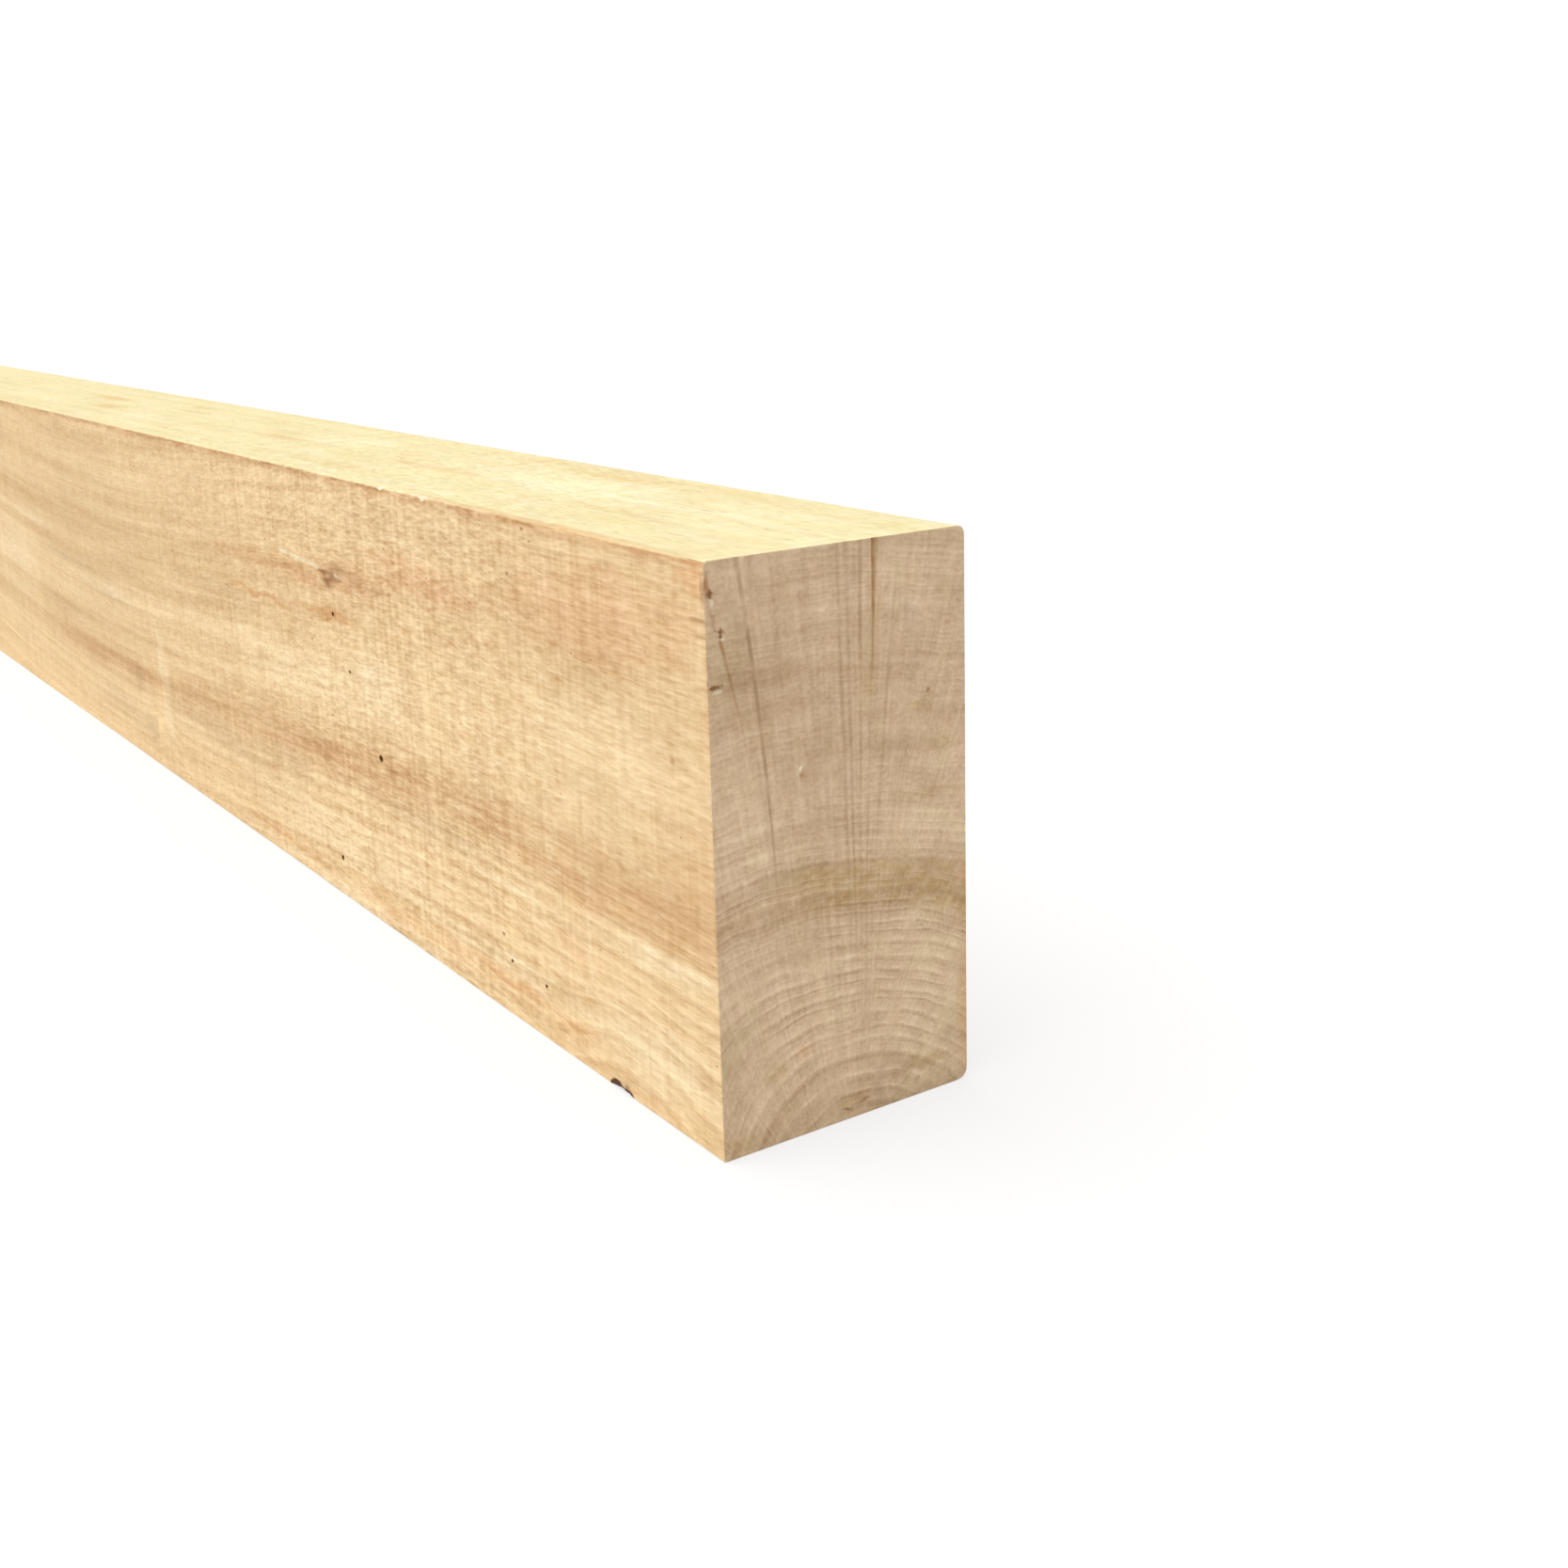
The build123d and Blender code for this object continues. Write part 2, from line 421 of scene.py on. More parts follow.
def saw_wave(x, cross, relief):
    """How far the saw's long waves go below the planes of the sides, from 0 to the relief. A ripple of
    about 27 mm rides on a swell of 143 mm."""
    ripple = np.sin(2 * pi * x / 27.4 + 2 * np.sin(x / 61) + cross / 190)
    swell = np.sin(2 * pi * x / 143 + cross / 80)
    return relief * (0.5 + 0.25 * ripple + 0.25 * swell)


def sink_front(box, marks):
    """How far each point of the front side is moved for the pin holes and the knot."""
    side = box[:, [0, 2]]
    depths = np.zeros(len(box))
    slides = np.zeros(len(box))
    # A hole's wall falls over 0.4 of its radius, and its painted shade reaches a little past its rim.
    for from_end, height, radius, depth in PIN_HOLES:
        away = side - (CUT_END - from_end, height)
        away[:, 0] *= cos(PIN_HOLE_LEAN)
        gap = np.linalg.norm(away, axis=1) / radius
        wall = np.clip((1.15 - gap) / 0.4, 0, 1)
        depths = np.maximum(depths, depth * wall)
        slides -= depth * wall * np.tan(PIN_HOLE_LEAN) * 0.5
        marks["hollow"] = np.maximum(marks["hollow"], np.clip((1.45 - gap) / 0.35, 0, 1))
    # The knot closes at both its ends, and its rim and its stain are ragged.
    gap, share = distance_to_line(side, knot_line())
    taper = np.sqrt(np.clip(4 * share * (1 - share), 0, 1))
    ragged = 1 + 0.7 * wavering(box, (9, 50, 3), 3) + 0.3 * wavering(box, (3, 50, 1.5), 6)
    inside = np.clip(1 - gap / (KNOT_HEIGHT / 2 * taper * ragged + 0.05), 0, 1)
    depths = np.maximum(depths, KNOT_DEPTH * inside ** 0.7)
    blotched = 0.75 + 0.6 * wavering(box, (5, 50, 2), 9)
    marks["stain"] = np.maximum(marks["stain"], np.clip(inside * 2.4, 0, 1) * np.clip(blotched, 0.4, 1))
    # Its pale lips, partly a painted highlight, are broken up, and fade towards both their ends.
    torn = np.clip(0.6 + 1.1 * wavering(box, (7, 50, 2.5), 10), 0, 1)
    for lip in KNOT_LIPS:
        gap, share = distance_to_line(side, lip_line(lip))
        ends = np.clip(8 * share * (1 - share), 0, 1)
        marks["fresh"] = np.maximum(marks["fresh"], 0.75 * np.clip(1.5 - gap / 0.85, 0, 1) * ends * torn)
    return np.outer(slides, (1, 0, 0)) + np.outer(depths, (0, 1, 0))


def sink_end(box, marks):
    """How far each point of the cut end is moved for its checks and pits."""
    end = box[:, 1:]
    depths = np.zeros(len(box))
    # A check's groove grows narrower and shallower towards its tip, and its mark is a little wider.
    for start, bend, tip, width, depth, mark, strengths in CHECKS:
        gap, share = distance_to_line(end, check_line(start, bend, tip))
        left = 1 - share
        half = width / 2 * left ** 0.4
        groove = np.clip(1.3 - gap / np.maximum(half, 0.15), 0, 1)
        depths = np.maximum(depths, depth * groove * left ** 0.5)
        shown = np.interp(share, CHECK_PLACES, strengths)
        shade = np.clip(1.9 - gap / np.maximum(half, 0.35), 0, 1) * shown
        patchy = np.clip(0.85 + 1.1 * wavering(box, (2, 3, 6), 11), 0.35, 1)
        marks[mark] = np.maximum(marks[mark], 0.9 * shade * patchy)
    for across, down, half_width, half_height, depth in END_PITS:
        away = (end - (FRONT + across, TOP - down)) / (half_width, half_height)
        gap = np.linalg.norm(away, axis=1) * (1 + 0.9 * wavering(box, (2, 1.1, 1.1), 7))
        depths = np.maximum(depths, depth * np.clip(1.15 - gap, 0, 1))
        # Each pit is darkened with painted shade.
        marks["hollow"] = np.maximum(marks["hollow"], 0.85 * np.clip((1.2 - gap) / 0.7, 0, 1))
        # Pale torn wood shows below each pit.
        pale = np.linalg.norm(away - (0.5, -1.9), axis=1) * (1 + 0.8 * wavering(box, (2, 0.9, 0.9), 12))
        marks["fresh"] = np.maximum(marks["fresh"], 0.5 * np.clip(1.1 - pale, 0, 1))
    return np.outer(depths, (-1, 0, 0))


def chip_arrises(box, marks):
    """The push inward that the chips and the bark pocket give the front arrises."""
    push = np.zeros_like(box)
    ragged = 1 + 0.5 * wavering(box, (3, 3, 3), 4)
    for from_end, length, depth, height, mark, strength in ARRIS_LOSSES:
        away = box - arris_line(from_end, length, height).mean(0)
        off_arris = np.linalg.norm(away[:, 1:], axis=1)
        run = np.clip(1 - (2 * away[:, 0] / length) ** 2, 0, 1)
        bite = depth * run * ragged
        share = np.clip(1 - off_arris / np.maximum(1.7 * bite, 0.01), 0, 1)
        inward = np.array((0, 1, 1 if height == 0 else -1))
        push += (bite * share)[:, None] * (inward / 2 ** 0.5)
        shown = np.clip(share * 3.5, 0, 1) * (bite > 0.35)
        if mark == "bark":
            rise = off_arris / np.maximum(BARK_RISE * run ** 0.5, 0.01)
            ragged_edge = 1.15 - rise + 0.5 * wavering(box, (4.5, 3.4, 1.8), 8)
            shown = np.clip(3 * ragged_edge, 0, 1) * (run > 0)
        marks[mark] = np.maximum(marks[mark], strength * shown)
    return push


def displace(box, sizes):
    """The final place of each point of the skin, and how strongly each mark shows there."""
    relief = sizes.saw_relief / MM
    ease = sizes.end_ease / MM
    marks = {name: np.zeros(len(box)) for name in MARKS}
    points = round_long_arrises(box)
    # Every side is lowered by its own stretch of the saw's waves, which fades where the next side
    # begins.
    fade, side_shift = 12.0, 40
    uneven = 0.5 + 0.5 * wavering(box, (180, 60, 60), 5)
    for axis, limits in ((1, (FRONT, -FRONT)), (2, (0, TOP))):
        for limit, inward in zip(limits, (1, -1)):
            weight = np.clip(1 - np.abs(box[:, axis] - limit) / fade, 0, 1)
            depth = saw_wave(box[:, 0] + side_shift * limit, box[:, 3 - axis], relief)
            points[:, axis] += inward * weight * (depth * (0.6 + 0.4 * uneven))
    weight = np.clip(1 - (CUT_END - np.abs(box[:, 0])) / fade, 0, 1)
    points[:, 0] -= np.sign(box[:, 0]) * weight * 0.7 * relief * uneven
    # The edges round the ends are eased by drawing their last points in.
    end_gap = CUT_END - np.abs(box[:, 0])
    for axis, middle, half in ((1, 0.0, WIDTH / 2), (2, HEIGHT / 2, HEIGHT / 2)):
        side_gap = half - np.abs(box[:, axis] - middle)
        corner = (end_gap < ease) & (side_gap < ease)
        a, b = ease - end_gap[corner], ease - side_gap[corner]
        shrink = np.maximum(a, b) / np.hypot(a, b)
        points[corner, 0] -= np.sign(box[corner, 0]) * a * (1 - shrink)
        points[corner, axis] -= np.sign(box[corner, axis] - middle) * b * (1 - shrink)
    front, end = np.isclose(box[:, 1], FRONT), np.isclose(box[:, 0], CUT_END)
    for select, sink in ((front, sink_front), (end, sink_end)):
        here = {mark: values[select] for mark, values in marks.items()}
        points[select] += sink(box[select], here)
        for mark, values in here.items():
            marks[mark][select] = values
    points += chip_arrises(box, marks)
    return points, marks


def make_beam_mesh(sizes):
    """The whole beam as one closed mesh, in metres, with its two materials' faces told apart."""
    # Where the grid lines beside an edge lie, from the edge inwards.
    arris_steps = (0, 0.25, 0.6, 1.1, 1.9, 3.2, 5.2)
    end_steps = (0, 0.2, 0.45, 1.5, 4)
    sharp_angle = radians(38)
    pitch = sizes.pitch / MM
    lines = [
        spaced_lines(-CUT_END, CUT_END, end_steps, pitch),
        spaced_lines(FRONT, -FRONT, arris_steps, pitch),
        spaced_lines(0, TOP, arris_steps, pitch),
    ]
    outline = Outline(lines, target_size(sizes))
    box, loops = outline.polygons()
    points, marks = displace(box, sizes)
    mesh = bpy.data.meshes.new("sawn_oak_beam")
    mesh.from_pydata((points * MM).tolist(), [], loops)
    for name, values in marks.items():
        mark = mesh.attributes.new(name, "FLOAT", "POINT")
        mark.data.foreach_set("value", values.astype(np.float32))
    mesh.polygons.foreach_set("material_index", (outline.face < 2).astype(np.int32))
    work = bmesh.new()
    work.from_mesh(mesh)
    bmesh.ops.triangulate(work, faces=work.faces[:], quad_method="SHORT_EDGE", ngon_method="BEAUTY")
    work.to_mesh(mesh)
    work.free()
    mesh.polygons.foreach_set("use_smooth", np.ones(len(mesh.polygons), dtype=bool))
    mesh.set_sharp_from_angle(angle=sharp_angle)
    mesh.validate()
    return mesh


def add_node(tree, kind, inputs=(), output=0, **settings):
    """Adds a shader node, and gives back one of its outputs if it has any. The inputs are listed from
    the first one on, or named in a dictionary, and each takes a value or another node's output."""
    node = tree.nodes.new("ShaderNode" + kind)
    for name, value in settings.items():
        setattr(node, name, value)
    named = inputs if isinstance(inputs, dict) else dict(enumerate(inputs))
    for name, value in named.items():
        if isinstance(value, bpy.types.NodeSocket):
            tree.links.new(value, node.inputs[name])
        else:
            node.inputs[name].default_value = value
    return node.outputs[output] if node.outputs else None


def fill_ramp(source, stops, interpolation="LINEAR"):
    """Gives a colour ramp its stops. A stop is a place from 0 to 1, and a grey value."""
    ramp = source.node.color_ramp
    ramp.interpolation = interpolation
    while len(ramp.elements) < len(stops):
        ramp.elements.new(1.0)
    for element, (at, grey) in zip(ramp.elements, stops):
        element.position = at
        element.color = (grey, grey, grey, 1)


def start_material(name):
    """A new material and its node tree, which is empty."""
    material = bpy.data.materials.new(name)
    material.use_nodes = True
    tree = material.node_tree
    tree.nodes.clear()
    return material, tree


def lumps(tree, place, size, detail=1.0, seed=0, output=0):
    """Noise about 0.5 whose lumps have the given size in millimetres along X, Y and Z. Each seed gives
    other lumps."""
    shift = (3.1 * seed, 7.7 * seed, 1.3 * seed)
    per_size = [1 / s for s in size]
    scaled = add_node(tree, "Mapping", {"Vector": place, "Location": shift, "Scale": per_size})
    return add_node(tree, "TexNoise", {"Vector": scaled, "Scale": 1.0, "Detail": detail}, output)


def scattered(tree, place, size, detail, seed, levels, shares):
    """A share that changes in lumps of the given size. It goes from the first share to the second as
    the noise goes from the first level to the second."""
    tone = lumps(tree, place, size, detail, seed)
    return add_node(tree, "MapRange", [tone, *levels, *shares])


def pushed(tree, start, place, size, detail, seed, reach):
    """A vector that is pushed about by lumps, over half the reach either way along each axis."""
    push = lumps(tree, place, size, detail, seed, "Color")
    centred = add_node(tree, "VectorMath", [push, (0.5, 0.5, 0.5)], operation="SUBTRACT")
    return add_node(tree, "VectorMath", [centred, reach, start], operation="MULTIPLY_ADD")


def oval_share(tree, place, centre, size, inner=0.15):
    """1 inside an oval with the given centre and half sizes, in millimetres, and 0 outside it."""
    per_size = [1 / s for s in size]
    offset = [-c / s for c, s in zip(centre, size)]
    away = add_node(tree, "VectorMath", [place, per_size, offset], operation="MULTIPLY_ADD")
    gap = add_node(tree, "VectorMath", [away], 1, operation="LENGTH")
    return add_node(tree, "MapRange", [gap, inner, 1.0, 1.0, 0.0], interpolation_type="SMOOTHSTEP")


def wood_places(tree):
    """Coordinates of the wood, in millimetres: in the beam, in the log, and as ring radius and ray."""
    position = add_node(tree, "TexCoord", output="Object")
    place = add_node(tree, "Mapping", {"Vector": position, "Scale": (1 / MM, 1 / MM, 1 / MM)})
    x, y, z = (add_node(tree, "SeparateXYZ", [place], axis) for axis in range(3))
    # The grain begins to dip a little way from the cut end, and dips and rises in long bows.
    from_end = add_node(tree, "Math", [CUT_END, x], operation="SUBTRACT")
    bent = add_node(tree, "Math", [from_end, DRIFT_START], operation="SUBTRACT")
    bent = add_node(tree, "Math", [bent, 0.0], operation="MAXIMUM")
    turn = add_node(tree, "Math", [bent, 2 * pi / DRIFT_WAVE], operation="MULTIPLY")
    bow = add_node(tree, "Math", [turn], operation="COSINE")
    drift = add_node(tree, "Math", [bow, -DRIFT / 2, DRIFT / 2], operation="MULTIPLY_ADD")
    run_height = add_node(tree, "Math", [z, drift], operation="ADD")
    run = add_node(tree, "CombineXYZ", [x, y, run_height])
    # The whole tree wanders slowly, and its rings have small waves.
    wander, waves = 6.0, 3.5
    slow = lumps(tree, run, (420, 60, 60), 1, 1)
    quick = lumps(tree, run, (80, 17, 17), 2, 2)
    sway = add_node(tree, "Math", [slow, wander, -wander / 2 - PITH[1]], operation="MULTIPLY_ADD")
    sway = add_node(tree, "Math", [quick, waves, sway], operation="MULTIPLY_ADD")
    above = add_node(tree, "Math", [run_height, sway], operation="ADD")
    # Swellings lift the rings into pointed arches on the lower front side.
    for at, *size, lift in SWELLINGS:
        swelling = oval_share(tree, place, (CUT_END - at, FRONT, 0), size)
        above = add_node(tree, "Math", [swelling, -lift, above], operation="MULTIPLY_ADD")
    # Higher up, the rings' crown moves towards the front side, and their back flank grows longer.
    crown_shift, longer = 30.0, 0.27
    high = add_node(tree, "MapRange", [above, 25.0, 110.0, 0.0, 1.0], interpolation_type="SMOOTHSTEP")
    crown = add_node(tree, "Math", [high, crown_shift, -PITH[0]], operation="MULTIPLY_ADD")
    aside = add_node(tree, "Math", [y, crown], operation="ADD")
    behind = add_node(tree, "MapRange", [aside, -8.0, 8.0, 0.0, -longer])
    flank = add_node(tree, "Math", [behind, high, 1.0], operation="MULTIPLY_ADD")
    flat_aside = add_node(tree, "Math", [aside, flank], operation="MULTIPLY")
    section = add_node(tree, "CombineXYZ", [0.0, flat_aside, above])
    radius = add_node(tree, "VectorMath", [section], 1, operation="LENGTH")
    # Rays leave the pith and bend to stay square to the rings. A ray keeps one number all along: how
    # far it is to the back of the pith where it has come this high above it.
    ray_height = 200.0
    from_pith = add_node(tree, "Math", [y, PITH[0]], operation="SUBTRACT")
    bend = add_node(tree, "MapRange", [from_pith, -10.0, 10.0, 0.5, 1.5], interpolation_type="SMOOTHSTEP")
    height = add_node(tree, "Math", [above, 5.0], operation="MAXIMUM")
    spread = add_node(tree, "Math", [ray_height, height], operation="DIVIDE")
    spread = add_node(tree, "Math", [spread, bend], operation="POWER")
    ray = add_node(tree, "Math", [from_pith, spread], operation="MULTIPLY")
    return {"place": place, "y": y, "z": z, "from_end": from_end, "run": run, "run_height": run_height,
            "radius": radius, "ray": ray}


def ring_tone(tree, sizes, radius):
    """Growth rings about 0.5: a dark line of spring pores, then a pale line of summer wood. The rings
    grow narrower outwards."""
    narrowing, reach = 1.5, 100.0
    rings_in_reach = reach * MM / (narrowing * sizes.ring)
    share = add_node(tree, "Math", [radius, reach], operation="DIVIDE")
    grown = add_node(tree, "Math", [share, narrowing], operation="POWER")
    count = add_node(tree, "Math", [grown, rings_in_reach], operation="MULTIPLY")
    years = add_node(tree, "TexNoise", {"W": count, "Scale": 0.35, "Detail": 2.0}, noise_dimensions="1D")
    uneven = add_node(tree, "Math", [years, 2.4, count], operation="MULTIPLY_ADD")
    season = add_node(tree, "Math", [uneven], operation="FRACT")
    tone = add_node(tree, "ValToRGB", [season])
    seasons = ((0.0, 0.5), (0.18, 0.02), (0.34, 0.32), (0.5, 1.0), (0.66, 0.7), (0.82, 0.46), (1.0, 0.5))
    fill_ramp(tone, seasons, "EASE")
    return tone


def growth_tone(tree, radius):
    """The tree's better and leaner years, about 0.5: broad bands that follow the rings. Each has its
    distance from the pith, in millimetres, and its tone."""
    reach = 280.0
    bands = (
        (28, 0.42), (35, 0.36), (41, 0.66), (45, 0.44), (49, 0.34), (53, 0.64), (60, 0.56),
        (72, 0.49), (80, 0.62), (92, 0.50), (106, 0.30), (118, 0.48), (133, 0.56), (149, 0.60),
        (163, 0.50), (177, 0.40), (188, 0.29), (200, 0.42), (221, 0.50), (236, 0.45), (262, 0.42),
    )
    place = add_node(tree, "Math", [radius, reach], operation="DIVIDE")
    tone = add_node(tree, "ValToRGB", [place])
    fill_ramp(tone, [(at / reach, grey) for at, grey in bands])
    return tone


def layer(tree, tone, layers):
    """Adds layers to a tone. Each varies about 0.5, and is given with how strongly it counts."""
    for source, strength in layers:
        offset = add_node(tree, "Math", [source, 0.5], operation="SUBTRACT")
        tone = add_node(tree, "Math", [offset, strength, tone], operation="MULTIPLY_ADD")
    return tone


def lay_patches(tree, under, place, patches):
    """Lays soft oval patches over a colour. Each has its centre and half sizes, in millimetres, its
    colour and how strongly it covers."""
    for centre, size, colour, strength in patches:
        share = oval_share(tree, place, centre, size)
        share = add_node(tree, "Math", [share, strength], operation="MULTIPLY")
        under = add_node(tree, "Mix", {0: share, 6: under, 7: colour}, 2, data_type="RGBA")
    return under


def lay_grain(tree, under, tone, plain, dark):
    """Darkens and lightens a colour by the grain's tone. A tone of 0.5 leaves it, and a tone of 0
    turns the plain wood into the dark."""
    palest = 0.97
    swing = [2 * (1 - d / p) for d, p in zip(dark[:3], plain[:3])]
    offset = add_node(tree, "Math", [tone, 0.5], operation="SUBTRACT")
    factor = add_node(tree, "VectorMath", [offset, swing, (1, 1, 1)], operation="MULTIPLY_ADD")
    varied = add_node(tree, "VectorMath", [under, factor], operation="MULTIPLY")
    return add_node(tree, "VectorMath", [varied, (palest, palest, palest)], operation="MINIMUM")


def vary_hue(tree, under, place, size, reach):
    """Pushes the red and the blue of a colour up and down in soft lumps, and leaves its green alone."""
    factor = pushed(tree, (1, 1, 1), place, size, 1, 20, (reach, 0, 2 * reach))
    return add_node(tree, "VectorMath", [under, factor], operation="MULTIPLY")


def lay_marks(tree, colour, colours):
    """Lays the mesh's own marks over a colour, each in the colour of the same name."""
    for mark in MARKS:
        share = add_node(tree, "Attribute", output="Fac", attribute_name=mark)
        shown = getattr(colours, mark)
        colour = add_node(tree, "Mix", {0: share, 6: colour, 7: shown}, 2, data_type="RGBA")
    return colour


def finish_surface(tree, colour, roughness, height, depth, gloss):
    """The shader and its output. The height's full range is as deep as the depth, in metres."""
    normal = add_node(tree, "Bump", {"Strength": 1.0, "Distance": depth, "Height": height})
    shader = add_node(tree, "BsdfPrincipled", {
        "Base Color": colour, "Roughness": roughness, "Normal": normal, "IOR": 1.5,
        "Specular IOR Level": gloss,
    })
    add_node(tree, "OutputMaterial", {"Surface": shader})


def ragged_place(tree, place, reach):
    """The place, pushed about by noise so that a patch's outline is ragged."""
    return pushed(tree, place, place, (22, 9, 6), 2, 0, reach)


def on_front(table):
    """Patches of the front side, placed in the beam. The table gives each colour with its patches."""
    return [((CUT_END - from_end, FRONT, z), (half_x, PATCH_REACH, half_z), colour, strength)
            for colour, patches in table for from_end, z, half_x, half_z, strength in patches]


def front_patches(colours):
    """Patches on the front side, in the order that they are laid. Each has its distance from the cut
    end, its height, half length and half height, and its strength."""
    table = [
        (colours.grey, [
            (470, 126, 100, 8, 0.24), (700, 110, 420, 110, 0.16), (780, 104, 130, 7, 0.30),
            (720, 158, 130, 30, 0.15), (690, 95, 90, 15, 0.25), (690, 26, 90, 14, 0.30),
            (800, 70, 90, 12, 0.20),
        ]),
        (colours.streak, [(745, 50, 80, 10, 0.20)]),
        (colours.light, [(690, 94, 140, 4, 0.25)]),
        (colours.grey, [(490, 44, 130, 14, 0.35)]),
        (colours.light, [(850, 124, 90, 8, 0.30), (930, 90, 110, 50, 0.25)]),
        (colours.grey, [(230, 184, 140, 14, 0.16)]),
        (colours.light, [(60, 128, 100, 50, 0.16), (150, 54, 52, 3, 0.35)]),
        (colours.pink, [(70, 172, 90, 30, 0.30)]),
        (colours.streak, [(100, 169, 130, 22, 0.15)]),
        (colours.orange, [(12, 100, 40, 52, 0.13), (70, 70, 110, 11, 0.16)]),
        (colours.pink, [
            (225, 165, 90, 12, 0.30), (188, 160, 50, 6, 0.30), (300, 158, 60, 8, 0.25),
            (6, 196, 15, 9, 0.60),
        ]),
        (colours.light, [
            (262, 113, 46, 22, 0.30), (370, 102, 170, 20, 0.22), (30, 59, 62, 8, 0.50),
            (42, 22, 62, 18, 0.48), (240, 21, 260, 6, 0.28),
        ]),
        (colours.orange, [(8, 184, 32, 24, 0.12)]),
        (colours.light, [(150, 24, 50, 5, 0.50), (330, 31, 170, 15, 0.26), (300, 4, 240, 5, 0.35)]),
        (colours.grey, [(230, 60, 130, 7, 0.30), (390, 53, 60, 10, 0.35)]),
        (colours.light, [(588, 52, 11, 62, 0.38)]),
        (colours.grey, [(640, 50, 22, 11, 0.45), (624, 22, 20, 13, 0.60)]),
        (colours.orange, [
            (400, 9.5, 75, 1.8, 0.50), (158, 14, 70, 2.6, 0.45), (98, 14, 18, 3.5, 0.45),
            (225, 9, 105, 4, 0.15), (102, 45, 15, 8, 0.20), (400, 150, 95, 6, 0.25),
        ]),
        (colours.stain, [
            # Of the next patches, the one 303 mm from the cut end, above the knot's lip, is painted
            # shade; the rest are stain.
            (348, 151, 34, 5, 0.22), (268, 155, 34, 4.5, 0.22), (303, 158.5, 24, 3.2, 0.45),
            (312, 152.5, 15, 3.8, 0.80),
        ]),
        # Painted shade deepens the knot's core.
        (colours.hollow, [(313, 152.6, 10, 2.4, 0.60)]),
        (colours.pink, [(345, 149, 30, 5, 0.45), (284, 151, 34, 6, 0.45)]),
        (colours.orange, [(312, 136.5, 26, 5, 0.55)]),
        (colours.stain, [(312, 136.8, 7, 2.2, 0.50)]),
        (colours.orange, [(410, 132.5, 75, 2.4, 0.45), (340, 135.5, 45, 2.2, 0.40)]),
        (colours.pink, [(362, 151.5, 18, 3.5, 0.60)]),
        (colours.stain, [(292, 153.5, 16, 3.5, 0.35)]),
        (colours.light, [
            (111, 90, 1.8, 120, 0.35), (157, 100, 1.6, 110, 0.35), (173, 110, 1.8, 100, 0.35),
            (184, 110, 1.6, 100, 0.30), (87, 60, 1.8, 90, 0.30),
        ]),
    ]
    return on_front(table)


def front_specks(colours):
    """Single small marks on the front side, given like the patches."""
    table = [
        (colours.stain, [
            (25, 179, 20, 2, 0.25), (4, 181, 9, 1.3, 0.60), (3, 176, 7, 1.1, 0.45),
            (1, 191, 2.6, 7, 0.55), (22.5, 132, 2.4, 2.0, 0.50), (156, 32.5, 1.9, 1.1, 1.00),
            (120.6, 196.5, 1.8, 1.0, 1.00), (134.5, 178.5, 1.8, 1.0, 0.90), (248, 174, 1.6, 0.9, 0.90),
            (340.8, 120.8, 2.0, 1.0, 0.80),
        ]),
    ]
    return on_front(table)


def top_patches(colours):
    """Patches on the top. Each has its distance from the cut end and from the front side, its half
    length and half width, and its strength."""
    table = [
        (colours.top_streak, [(210, 92, 170, 16, 0.35)]),
        (colours.top_pale, [(180, 58, 110, 26, 0.60), (60, 60, 60, 30, 0.30), (214, 10, 22, 5, 0.80)]),
        (colours.pink, [(120, 70, 22, 8, 0.16)]),
        (colours.top_pale, [(425, 66, 60, 20, 0.60), (690, 30, 50, 18, 0.60)]),
        (colours.top_streak, [
            (340, 20, 90, 10, 0.35), (787, 38, 40, 12, 0.80), (850, 58, 60, 8, 0.50),
            (715, 77, 30, 9, 0.60), (575, 74, 30, 8, 0.45), (510, 58, 50, 7, 0.40),
            (300, 45, 90, 8, 0.30), (125, 36, 40, 7, 0.35),
        ]),
        (colours.orange, [
            (105, 1, 150, 5, 0.45), (860, 62, 75, 7, 0.28), (693, 64, 40, 5, 0.25),
            (489, 46, 40, 7, 0.28),
        ]),
        (colours.pink, [(300, 46, 70, 6, 0.22)]),
        (colours.orange, [(205, 84, 55, 8, 0.14), (85, 34, 30, 5, 0.16)]),
    ]
    reach = 12
    return [((CUT_END - from_end, FRONT + across, TOP), (half_x, half_y, reach), colour, strength)
            for colour, patches in table for from_end, across, half_x, half_y, strength in patches]


